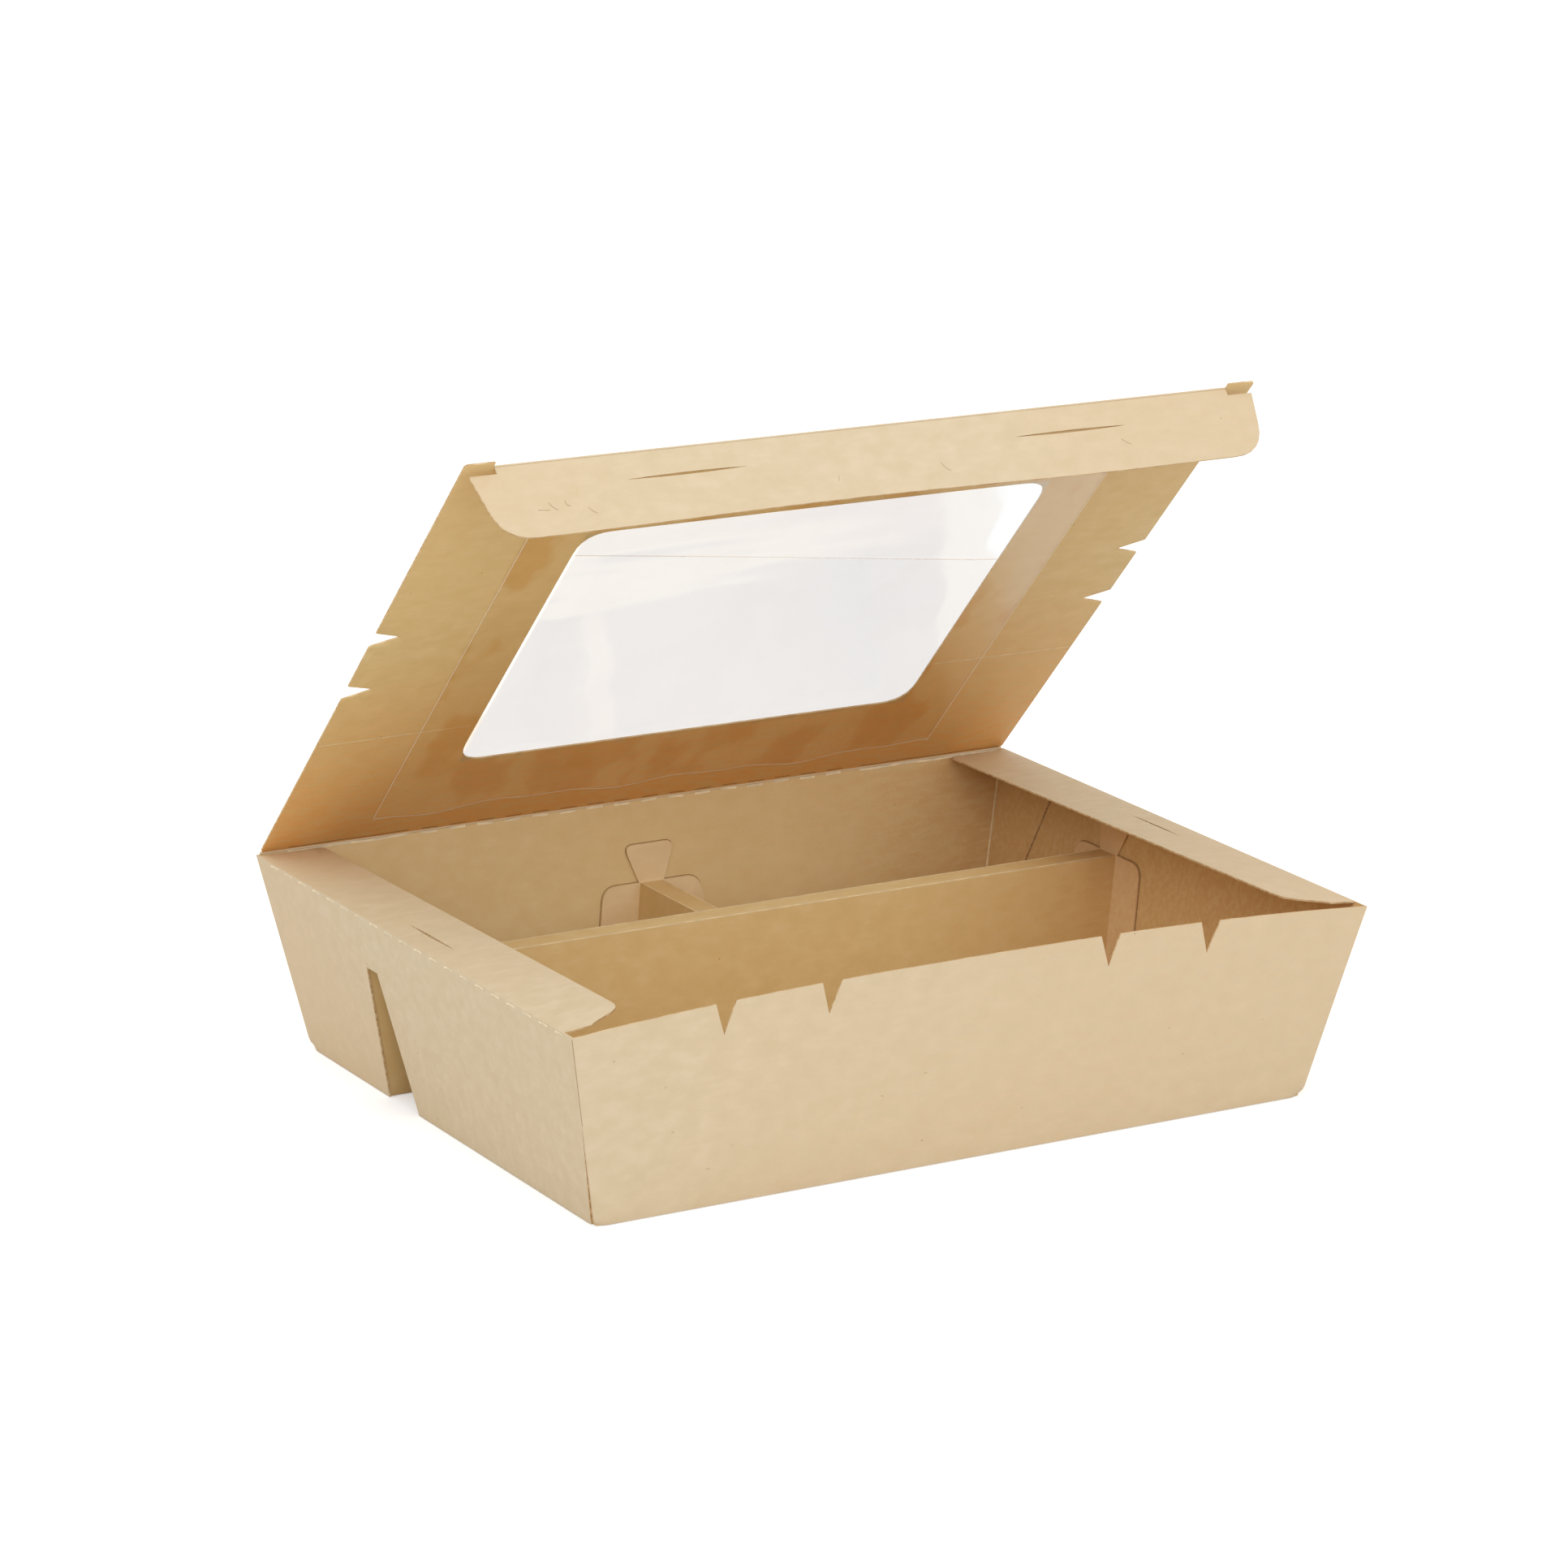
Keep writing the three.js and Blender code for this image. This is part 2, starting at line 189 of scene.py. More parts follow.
def kraft(name, light, dark, warm, sheen=0.62, warmth=0.25, shade=None):
    """Kraft board: cloudy pulp, fine fibre streaks, grain and specks.

    shade is painted shade: a tone that grows along an axis, given as axis, start, end, greatest
    share, tone.
    """
    n = Nodes(name)
    cloud = n.ramp(n.noise(260, (0.7, 1, 1), detail=5), 0.3, 0.7)
    colour = n.blend(cloud, light, dark)
    wide = n.ramp(n.noise(7, detail=1), 0.4, 0.65, 0, warmth)
    colour = n.blend(wide, colour, warm)
    # Painted shade: the colour turns towards the tone along one axis, standing in for shade that
    # falls there.
    if shade:
        axis, start, end, most, tone = shade
        along = n.add("ShaderNodeSeparateXYZ", {0: n.place()}).outputs[axis]
        colour = n.blend(n.ramp(along, start, end, 0, most), colour, tone)
    fibres = n.noise(620, (0.3, 1, 1), 5)
    colour = n.blend(n.ramp(fibres, 0.44, 0.6, 0, 0.4), colour, dark)
    grain = n.noise(1900, detail=2)
    colour = n.blend(n.ramp(grain, 0.56, 0.72, 0, 0.3), colour, light)
    cells = n.add("ShaderNodeTexVoronoi", {"Vector": n.place(), "Scale": 260.0}, feature="F1")
    speck = n.ramp(cells.outputs["Distance"], 0.045, 0.075, 0.55, 0)
    rare = n.ramp(cells.outputs["Color"], 0.80, 0.82, 0, 1)
    colour = n.blend(n.math("MULTIPLY", speck, rare), colour, SPECK_TONE)
    height = n.math("ADD", n.math("MULTIPLY", fibres, 0.6), grain)
    board = n.add(
        "ShaderNodeBsdfPrincipled",
        {
            "Base Color": colour,
            "Roughness": n.ramp(fibres, 0.3, 0.7, sheen - 0.06, sheen + 0.08),
            "Specular IOR Level": 0.28,
            "Normal": n.bump(height, 0.12, 0.0002),
        },
    )
    return n.finish(board)


def cut_board():
    """The pale torn fibre of a cut edge, with darker streaks in it."""
    n = Nodes("cut_edge")
    fibres = n.noise(900, (0.3, 1, 1), 4)
    streaks = n.ramp(fibres, 0.35, 0.65)
    colour = n.blend(streaks, linear(226, 200, 156), linear(190, 152, 104))
    edge = n.add(
        "ShaderNodeBsdfPrincipled",
        {"Base Color": colour, "Roughness": 0.9, "Normal": n.bump(fibres, 0.3, 0.0001)},
    )
    return n.finish(edge)


def line_board(name, colour, roughness=0.8):
    """Flat colour for drawn lines, uneven along its length: painted highlights and painted
    shadows along creases, slits and flap edges, and stray fibres.
    """
    n = Nodes(name)
    patch = n.ramp(n.noise(300, (1, 1, 1), 3), 0.35, 0.65, 0.85, 1.1)
    shade = n.add("ShaderNodeVectorMath", {0: colour[:3], 3: patch}, operation="SCALE")
    crease = n.add(
        "ShaderNodeBsdfPrincipled",
        {"Base Color": shade.outputs[0], "Roughness": roughness},
    )
    return n.finish(crease)


def film_material(name, clean, patchy, gloss_share, roughness):
    """Thin glossy film: almost all light goes straight through it."""
    n = Nodes(name)
    normal = n.bump(n.noise(26, (0.5, 2.2, 2.2), 2), 0.35, 0.0015)
    gloss = n.add(
        "ShaderNodeBsdfGlossy",
        {"Color": (1, 1, 1, 1), "Roughness": roughness, "Normal": normal},
    )
    patches = n.ramp(n.noise(55, (1, 0.6, 0.6), 3), 0.5, 0.57)
    tint = n.blend(patches, clean, patchy)
    clear = n.add("ShaderNodeBsdfTransparent", {"Color": tint})
    fresnel = n.add("ShaderNodeFresnel", {"IOR": 1.4, "Normal": normal})
    mirror = n.ramp(fresnel.outputs[0], 0.0, 1.0, 0.0, gloss_share)
    return n.finish(n.mix(mirror, clear, gloss))


def film_rim():
    """The film's cut edge, which catches the light."""
    n = Nodes("film_edge")
    haze = n.add("ShaderNodeBsdfDiffuse", {"Color": linear(250, 236, 214)})
    clear = n.add("ShaderNodeBsdfTransparent", {"Color": (1, 1, 1, 1)})
    return n.finish(n.mix(0.6, clear, haze))


OUTSIDE = kraft(
    "kraft_outside",
    linear(223, 204, 173),
    linear(215, 195, 160),
    linear(221, 191, 151),
    warmth=0.5,
)
# Painted shade: the inside board turns darker and warmer towards the box's right end, where less
# light reaches.
INSIDE = kraft(
    "kraft_inside",
    linear(231, 208, 158),
    linear(224, 197, 143),
    linear(223, 184, 128),
    sheen=0.5,
    warmth=0.5,
    shade=("X", 0.04, 0.11, 0.65, linear(204, 154, 98)),
)
# Painted shade: the insert also darkens towards the right end.
INSERT = kraft(
    "kraft_insert",
    linear(222, 194, 141),
    linear(215, 184, 127),
    linear(215, 172, 113),
    sheen=0.5,
    warmth=0.5,
    shade=("X", 0.04, 0.11, 0.5, linear(198, 146, 90)),
)
# Painted shade: the glued flaps also darken towards the right end.
GLUED_FLAP = kraft(
    "kraft_flap",
    linear(236, 210, 166),
    linear(230, 201, 155),
    linear(228, 190, 142),
    sheen=0.5,
    shade=("X", 0.02, 0.11, 0.6, linear(216, 170, 120)),
)
# Painted shade: the lid's underside turns darker and orange-brown down towards the hinge.
LID_UNDER = kraft(
    "kraft_lid",
    linear(224, 198, 144),
    linear(216, 187, 130),
    linear(220, 178, 120),
    sheen=0.5,
    warmth=0.5,
    shade=("Z", 0.115, 0.05, 0.8, linear(226, 158, 80)),
)
EDGE = cut_board()
# Painted highlight for creases and folds that catch the light.
CREASE_HIGHLIGHT = line_board("crease_highlight", linear(232, 208, 164))
# Pale cut fibre brightened with a painted highlight, for raised lips and fold perforations.
CREASE_BRIGHT = line_board("pale_fibre_highlight", linear(242, 224, 188))
# Painted shadow for lines along slits, seams and flap edges; the stray fibres use it too for
# their real dark colour.
CREASE_DARK = line_board("shadow_line_and_fibre", linear(158, 118, 72))
SLIT_DARK = line_board("slit_shadow", linear(110, 78, 46))
FILM = film_material(
    "clear_film",
    clean=(0.875, 0.89, 0.898, 1),
    patchy=(0.865, 0.878, 0.886, 1),
    gloss_share=0.3,
    roughness=0.1,
)
GLUED_FILM = film_material(
    "glued_film",
    clean=(1, 0.985, 0.95, 1),
    patchy=(0.96, 0.87, 0.74, 1),
    gloss_share=0.2,
    roughness=0.25,
)
FILM_EDGE = film_rim()


# Mesh work
def new_object(name, bm, materials, smooth=40):
    """An object from a mesh, shaded smooth up to an angle between its faces."""
    mesh = bpy.data.meshes.new(name)
    bm.to_mesh(mesh)
    bm.free()
    for material in materials:
        mesh.materials.append(material)
    obj = bpy.data.objects.new(name, mesh)
    bpy.context.scene.collection.objects.link(obj)
    mesh.shade_smooth()
    mesh.set_sharp_from_angle(angle=math.radians(smooth))
    return obj


def copy_of(node):
    """A node's solid, with the corners of neighbouring faces joined."""
    bm = bmesh.new()
    bm.from_mesh(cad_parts[node].data)
    bmesh.ops.remove_doubles(bm, verts=bm.verts, dist=2e-6)
    return bm


def steps(low, high, pitch):
    """Even places between two ends given in mm, in metres."""
    count = max(1, round((high - low) / pitch))
    return [(low + (high - low) * i / count) * MM for i in range(1, count)]


def slice_along(bm, normal, offsets, through=Vector((0, 0, 0))):
    """Cuts the faces where parallel planes pass, so that they can bend."""
    for offset in offsets:
        bmesh.ops.bisect_plane(
            bm,
            geom=bm.verts[:] + bm.edges[:] + bm.faces[:],
            dist=1e-7,
            plane_co=through + normal * offset,
            plane_no=normal,
        )


def drop_slivers(bm):
    bmesh.ops.dissolve_degenerate(bm, dist=5e-6, edges=bm.edges[:])
    bm.normal_update()


def bevel(obj, width, angle=35, segments=2):
    mod = obj.modifiers.new("edges", "BEVEL")
    mod.width = width * MM
    mod.limit_method = "ANGLE"
    mod.angle_limit = math.radians(angle)
    mod.segments = segments


# Slots of a sheet's materials: its outside, its cut edge and its inside
SHOWN, CUT, HIDDEN = 0, 1, 2


def all_near(values, target, within=0.04):
    return all(abs(v - target) < within for v in values)


def tray_side(face):
    """Which side of the carton's sheet a face is, from where its corners lie."""
    corners = [v.co / MM for v in face.verts]
    heights = [c.z for c in corners]
    if all_near(heights, HEIGHT) and face.normal.z > 0.5:
        return SHOWN
    if all_near(heights, HEIGHT - BOARD) and face.normal.z < -0.5:
        return HIDDEN
    inward = (
        [half_width(c.z) + c.y for c in corners],
        [half_width(c.z) - c.y for c in corners],
        [half_length(c.z) - abs(c.x) for c in corners],
    )
    if any(all_near(depths, 0) for depths in inward):
        return SHOWN
    aslant = 1.02  # a leaning wall's level thickness, as a share of its own
    wall_face = BOARD * aslant
    flap_face = (2 * BOARD - 0.05) * aslant
    for depths in inward:
        if all_near(depths, wall_face) or all_near(depths, flap_face):
            return HIDDEN
    return CUT


def panel_side(face, matrix, shown_up):
    """Which side of a flat panel a face is, from its corners' heights."""
    heights = [in_plane(matrix, v.co).z for v in face.verts]
    if all_near(heights, BOARD / 2):
        return SHOWN if shown_up else HIDDEN
    if all_near(heights, -BOARD / 2):
        return HIDDEN if shown_up else SHOWN
    return CUT


# Tray
def front_bow(x, z):
    """How far the front wall is pulled inward, most at the middle of its upper edge."""
    most = 2.4
    along = 1 - min(1, abs(x) / (TOP_LENGTH / 2)) ** 2.6
    return most * along * min(1, z / HEIGHT) ** 1.6


def flange_rise(y):
    """How far a flange's inner edge springs up, more and more from the hinge on."""
    most = 1.9
    slope = 0.0125
    return min(most, slope * (HINGE_Y - y))


def foot_pull(z, from_end, from_side):
    """How far the rounded lower corners draw in."""
    most = 1.1
    low = (1 - z / CORNER_FOOT) ** 2
    near_end = max(0, 1 - from_end / CORNER_FOOT)
    near_side = max(0, 1 - from_side / CORNER_FOOT)
    return most * low * near_end * near_side


def bend_tray(co):
    """The sprung flanges, bowed front wall and rounded feet of the folded carton."""
    x, y, z = co / MM
    from_end = half_length(z) - abs(x)
    from_side = half_width(z) - abs(y)
    above_floor = 1
    front_depth = 1.2
    back_corner = HINGE_Y - 0.9
    fold = 0.6
    on_flange = z > HEIGHT - 1 and fold < from_end < FLANGE_WIDTH + 1
    if half_width(z) + y < front_depth and z > above_floor:
        y += front_bow(x, z)
    elif on_flange and y < back_corner:
        z += flange_rise(y) * (from_end - fold) / (FLANGE_WIDTH - fold)
    if z < CORNER_FOOT:
        pull = foot_pull(z, from_end, from_side)
        x -= math.copysign(pull, x)
        y -= math.copysign(pull, y)
    return Vector((x, y, z)) * MM


def build_tray():
    """The folded carton below its lid, cut more finely at the rounded lower corners."""
    bm = copy_of("outer_carton")
    slice_along(bm, X_AXIS, steps(-112, 112, 5))
    slice_along(bm, Y_AXIS, steps(-82, 82, 8))
    slice_along(bm, Z_AXIS, [z * MM for z in (0.8, 1.6, 2.6)] + steps(0, 50, 5))
    for side in (-1, 1):
        slice_along(bm, X_AXIS, [side * x * MM for x in (98, 99.2, 100.4)])
        slice_along(bm, Y_AXIS, [side * y * MM for y in (71, 72.2, 73.2)])
    bm.normal_update()

    for face in bm.faces:
        face.material_index = tray_side(face)
    for vert in bm.verts:
        vert.co = bend_tray(vert.co)
    tray = new_object("carton_tray", bm, [OUTSIDE, EDGE, INSIDE])
    bevel(tray, 0.13)
    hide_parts("outer_carton")
    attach(tray, "tray")


def build_divider():
    """The insert: its floor, ridges and the flaps glued to the walls."""
    bm = copy_of("divider_floor")
    slice_along(bm, X_AXIS, steps(-110, 110, 8))
    slice_along(bm, Y_AXIS, steps(-80, 80, 8))
    drop_slivers(bm)
    flap_depth = 1.3
    for face in bm.faces:
        x, y, z = face.calc_center_median() / MM
        from_wall = min(half_length(z) - abs(x), half_width(z) - abs(y))
        face.material_index = 1 if z > 1 and from_wall < flap_depth else 0
    divider = new_object("divider_insert", bm, [INSERT, GLUED_FLAP])
    bevel(divider, 0.35, angle=25, segments=3)
    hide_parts("divider_floor")
    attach(divider, "tray")


# Lid and tuck flap
def lid_wave(x, u):
    """The lid's slight bow between its hinge and its front crease."""
    most = 0.5
    along = math.sin(math.pi * min(1, max(0, u / LID_LENGTH)))
    return most * along * math.cos(math.pi * x / 2 / LID_HALF)


def build_lid():
    """The lid panel with its ears, notches and window, bowed a little."""
    bm = copy_of("lid")
    slice_along(bm, X_AXIS, steps(-111, 111, 6))
    slice_along(bm, LID_AWAY, steps(0, 162, 6), HINGE * MM)
    drop_slivers(bm)
    for face in bm.faces:
        face.material_index = panel_side(face, LID, shown_up=False)
    for vert in bm.verts:
        x, u, w = in_plane(LID, vert.co)
        vert.co = (LID @ Vector((x, u, w + lid_wave(x, u)))) * MM
    lid = new_object("lid_panel", bm, [LID_UNDER, EDGE, OUTSIDE])
    bevel(lid, 0.12)
    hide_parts("lid")
    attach(lid, "lid")


def toward_edge(u):
    """How much of the lower edge's bending the tuck flap has at u."""
    return max(0, u / FLAP_LENGTH) ** 1.5


def flap_wave(x, u):
    """The tuck flap's buckled lower edge, away from the front wall."""
    middle = math.exp(-(((x + 10) / 75) ** 2))
    wave = 0.6 * middle * (math.sin(x / 31 + 0.6) - 1) + 0.2 * math.sin(x / 13)
    return toward_edge(u) * (wave - 0.15)


def flap_curl(x, u):
    """How far the tuck flap's curled lower edge is drawn up, most left of its middle."""
    most = 1.1
    middle = -24
    reach = 40
    return most * math.exp(-(((x - middle) / reach) ** 2)) * toward_edge(u)


def build_flap():
    """The tuck flap, with its lower edge buckled and curled."""
    bm = copy_of("lid_front_flap")
    slice_along(bm, X_AXIS, steps(-110, 110, 4))
    slice_along(bm, FLAP_AWAY, steps(0, 19, 3), FRONT_CREASE * MM)
    drop_slivers(bm)
    for face in bm.faces:
        face.material_index = panel_side(face, FLAP, shown_up=True)
    for vert in bm.verts:
        x, u, w = in_plane(FLAP, vert.co)
        vert.co = (FLAP @ Vector((x, u - flap_curl(x, u), w + flap_wave(x, u)))) * MM
    flap = new_object("tuck_flap", bm, [OUTSIDE, EDGE, INSIDE])
    bevel(flap, 0.12)
    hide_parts("lid_front_flap")
    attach(flap, "front_flap")


# Film
def film_near_edge(x):
    """The film's unevenly cut lower edge, as its distance from the hinge."""
    small = 0.9 * math.sin(x / 9.0) + 0.6 * math.sin(x / 4.3 + 1)
    return FILM_NEAR + small - 0.4 * math.sin(x / 21)


def film_height(x, u):
    """Ripples of the film where it spans the window, and flat where it's glued."""
    fade = 12.0
    depths = (WINDOW_HALF + 3 - abs(x), u - WINDOW_NEAR + 3.5, WINDOW_FAR + 3 - u)
    free = math.prod(min(1, max(0, depth / fade)) for depth in depths)
    ripple = 0.35 * math.sin(u / 9 + x / 60) + 0.25 * math.sin(u / 5 - x / 40)
    return lid_wave(x, u) - FILM_DROP - free * (0.35 + 0.5 * ripple)


def grid_sheet(rows, columns, corner):
    """A sheet of quads; corner(i, j) gives each corner in mm."""
    bm = bmesh.new()
    verts = [
        [bm.verts.new(corner(i, j) * MM) for j in range(columns + 1)]
        for i in range(rows + 1)
    ]
    for near, far in zip(verts, verts[1:]):
        for j in range(columns):
            bm.faces.new((near[j], far[j], far[j + 1], near[j + 1]))
    return bm


def build_film():
    """The film under the lid, clear in the window and stuck to the board around it."""
    rows = 90
    columns = 110

    def corner(i, j):
        x = -FILM_HALF + 2 * FILM_HALF * j / columns
        near = film_near_edge(x)
        u = near + (FILM_FAR - near) * i / rows
        return LID @ Vector((x, u, film_height(x, u)))

    bm = grid_sheet(rows, columns, corner)
    for face in bm.faces:
        x, u, _ = in_plane(LID, face.calc_center_median())
        in_window = abs(x) < WINDOW_HALF and WINDOW_NEAR < u < WINDOW_FAR
        face.material_index = 0 if in_window else 1
    film = new_object("window_film_sheet", bm, [FILM, GLUED_FILM], 80)
    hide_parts("window_film")
    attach(film, "lid")


# Lines, creases and small details
def strip(name, points, sideways, width, material, body):
    """A thin strip along points in mm; sideways(i) is its width's direction."""
    bm = bmesh.new()
    rows = []
    for i, p in enumerate(points):
        half = sideways(i).normalized() * width / 2
        rows.append([bm.verts.new((p - half) * MM), bm.verts.new((p + half) * MM)])
    for a, b in zip(rows, rows[1:]):
        bm.faces.new((a[0], a[1], b[1], b[0]))
    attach(new_object(name, bm, [material]), body)


def ribbon(name, points, width, across, material, body):
    """A strip whose width always lies across."""
    strip(name, points, lambda i: across, width, material, body)


def drawn_line(name, points, normal, width, material, body):
    """A strip along points, lying flat on a surface with that normal."""

    def sideways(i):
        ahead = points[min(i + 1, len(points) - 1)]
        behind = points[max(i - 1, 0)]
        return (ahead - behind).cross(normal)

    strip(name, points, sideways, width, material, body)


def straight(a, b, count=40):
    """Points on a straight line between two ends."""
    return [a.lerp(b, i / count) for i in range(count + 1)]


def rounded(corners, radius, count=7):
    """A path through 2-D corners, with the inner ones rounded."""
    corners = [Vector(c) for c in corners]
    path = [corners[0]]
    for before, corner, after in zip(corners, corners[1:], corners[2:]):
        reach = min(radius, (before - corner).length / 2, (after - corner).length / 2)
        start = corner + (before - corner).normalized() * reach
        end = corner + (after - corner).normalized() * reach
        for i in range(count + 1):
            t = i / count
            path.append(start.lerp(corner, t).lerp(corner.lerp(end, t), t))
    path.append(corners[-1])
    return path


def bead(name, centre, half, across, up, body):
    """A rounded fold of board along x about a centre point."""
    sides = 10
    count = 100
    turns = [2 * math.pi * k / sides for k in range(sides)]
    bm = bmesh.new()
    rings = []
    for i in range(count + 1):
        at = centre + X_AXIS * (half * (2 * i / count - 1))
        ring = [at + across * math.cos(a) + up * math.sin(a) for a in turns]
        rings.append([bm.verts.new(p * MM) for p in ring])
    for a, b in zip(rings, rings[1:]):
        for k in range(sides):
            j = (k + 1) % sides
            bm.faces.new((a[k], a[j], b[j], b[k]))
    bm.faces.new(rings[0])
    bm.faces.new(rings[-1])
    bmesh.ops.recalc_face_normals(bm, faces=bm.faces)
    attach(new_object(name, bm, [OUTSIDE], 60), body)


def film_lines():
    """The film's bright edges, and the fold across it."""
    below = -0.05
    near = [
        LID @ Vector((x, film_near_edge(x), film_height(x, FILM_NEAR) + below))
        for x in np.linspace(-FILM_HALF, FILM_HALF, 140)
    ]
    ribbon("film_edge_near", near, 0.45, LID_AWAY, FILM_EDGE, "lid")
    for side, name in ((-1, "left"), (1, "right")):
        x = side * FILM_HALF
        points = [
            LID @ Vector((x, u, film_height(x, u) + below))
            for u in np.linspace(FILM_NEAR, FILM_FAR, 80)
        ]
        ribbon(f"film_edge_{name}", points, 0.3, X_AXIS, FILM_EDGE, "lid")
    fold_u = 108.3
    fold_slant = 0.185
    fold_half = WINDOW_HALF - 0.5
    fold = [
        LID @ Vector((x, fold_u - fold_slant * x, film_height(x, 108) + below))
        for x in np.linspace(-fold_half, fold_half, 60)
    ]
    ribbon("film_fold_line", fold, 0.3, LID_AWAY, FILM_EDGE, "lid")


def score_lines():
    """The score across the lid, on both sides of the window, drawn as a painted highlight line.
    """
    under = -BOARD / 2 - 0.02
    score_u = 48.0
    for side, name in ((-1, "left"), (1, "right")):
        points = [
            LID @ Vector((side * x, score_u, under + lid_wave(x, score_u)))
            for x in np.linspace(WINDOW_HALF + 1, LID_HALF - 0.5, 30)
        ]
        ribbon(f"lid_score_{name}", points, 0.4, LID_AWAY, CREASE_HIGHLIGHT, "lid")


def hinge_detail():
    """The perforated crease: short slits, a long cut at each end, and raised lips. The slits and
    cuts are dark painted shadow lines under the lid; the lips are pale lines with a painted
    highlight.
    """
    centre = Vector((0, HINGE_Y - 0.05, HEIGHT + 0.28))
    bead("hinge_fold", centre, LID_HALF, Y_AXIS * 0.32, Z_AXIS * 0.4, "tray")
    first_slit = -66.0
    slit_pitch = 8.1
    slit_length = 4.7
    cuts = []
    for i in range(16):
        start = first_slit + slit_pitch * i
        cuts.append((f"slit_{i:02d}", start, start + slit_length))
    cuts += [("cut_left", -104, -70), ("cut_right", 66, 110)]
    under = -BOARD / 2 - 0.03
    from_hinge = 1.0
    lip_y = HINGE_Y - 0.4
    lip_z = HEIGHT - 0.18
    for name, start, end in cuts:
        across = np.linspace(start, end, max(9, round(end - start)))
        wave = 0.12 * np.sin(across / 3)
        dark = [LID @ Vector((x, from_hinge + w, under)) for x, w in zip(across, wave)]
        lip = [Vector((x, lip_y, lip_z + w)) for x, w in zip(across, wave)]
        # Dark painted shadow in each slit, and a pale lip with a painted highlight beside it.
        ribbon(f"hinge_{name}", dark, 0.28, LID_AWAY, CREASE_DARK, "lid")
        ribbon(f"hinge_lip_{name}", lip, 0.6, Z_AXIS, CREASE_BRIGHT, "tray")


def front_crease_bead():
    """The rounded fold between the lid and its tuck flap."""
    radius = 0.3
    half = LID_HALF - 8.4
    out = LID.to_3x3() @ Z_AXIS
    bead("front_crease_fold", FRONT_CREASE, half, LID_AWAY * radius, out * radius, "lid")


def ridge_creases():
    """Painted highlights along the folded tops of the dividers."""
    above = 0.02
    for y, width, name in ((21.7, 1.0, "front"), (28.0, 0.5, "rear")):
        z = LONG_TOP + above
        points = straight(Vector((-107, y, z)), Vector((107, y, z)))
        ribbon(f"long_ridge_crease_{name}", points, width, Y_AXIS, CREASE_HIGHLIGHT, "tray")
    for x, name in ((-3.12, "left"), (3.12, "right")):
        z = SHORT_TOP + above
        points = straight(Vector((x, 31, z)), Vector((x, 78, z)))
        ribbon(f"short_ridge_crease_{name}", points, 0.4, X_AXIS, CREASE_HIGHLIGHT, "tray")


def fold_dashes():
    """Perforations of the flanges' folds, on the end walls just below the rim, drawn as pale torn
    fibre with a painted highlight.
    """
    z = HEIGHT - 0.75
    first_dash = -78.0
    dash_pitch = 7.8
    dash_length = 4.0
    arch = 0.3
    for side, name in ((-1, "left"), (1, "right")):
        x = side * (half_length(z) + 0.05)
        for i in range(20):
            start = first_dash + dash_pitch * i
            points = [
                Vector((x, start + dash_length * t, z + arch * math.sin(math.pi * t)))
                for t in np.linspace(0, 1, 7)
            ]
            ribbon(f"flange_dash_{name}_{i:02d}", points, 0.6, Z_AXIS, CREASE_BRIGHT, "tray")


def flange_slits():
    """What shows in the flanges' slits: a painted shadow strip in the right one; the left one is
    shut.
    """
    x = TOP_LENGTH / 2 - 6.5
    half = 11.5
    z = HEIGHT - BOARD + 0.2
    for side, name, material in ((-1, "left", OUTSIDE), (1, "right", SLIT_DARK)):
        points = straight(Vector((side * x, -half, z)), Vector((side * x, half, z)), 12)
        ribbon(f"flange_slit_{name}", points, 1.8, X_AXIS, material, "tray")


def corner_lines():
    """The front wall's closed upper corners, above the open part of the seam."""
    seam_top = 27
    for side, name in ((-1, "left"), (1, "right")):
        points = [
            Vector((side * (half_length(z) + 0.02), 0.4 - half_width(z), z))
            for z in np.linspace(seam_top, HEIGHT - 0.5, 16)
        ]
        normal = Vector((side, 0, -END_LEAN)).normalized()
        drawn_line(f"front_{name}_corner_line", points, normal, 0.22, CREASE_DARK, "tray")


def foot_strips():
    """Board seen in the seam between the floor and the walls' feet."""
    inset = 0.55
    x = BASE_LENGTH / 2 - inset
    y = BASE_WIDTH / 2 - inset
    end_x = x - CORNER_FOOT
    end_y = y - CORNER_FOOT
    back_notch = 9
    end_notch_front = 13
    end_notch_back = 33
    runs = [
        ((-end_x, -y), (end_x, -y)),
        ((-end_x, y), (-back_notch, y)),
        ((back_notch, y), (end_x, y)),
    ]
    for side in (-1, 1):
        runs.append(((side * x, -end_y), (side * x, end_notch_front)))
        runs.append(((side * x, end_notch_back), (side * x, end_y)))
    above_ground = 0.03
    for i, (start, end) in enumerate(runs):
        points = [Vector((*start, above_ground)), Vector((*end, above_ground))]
        drawn_line(f"foot_strip_{i}", points, Z_AXIS, 0.9, INSIDE, "tray")


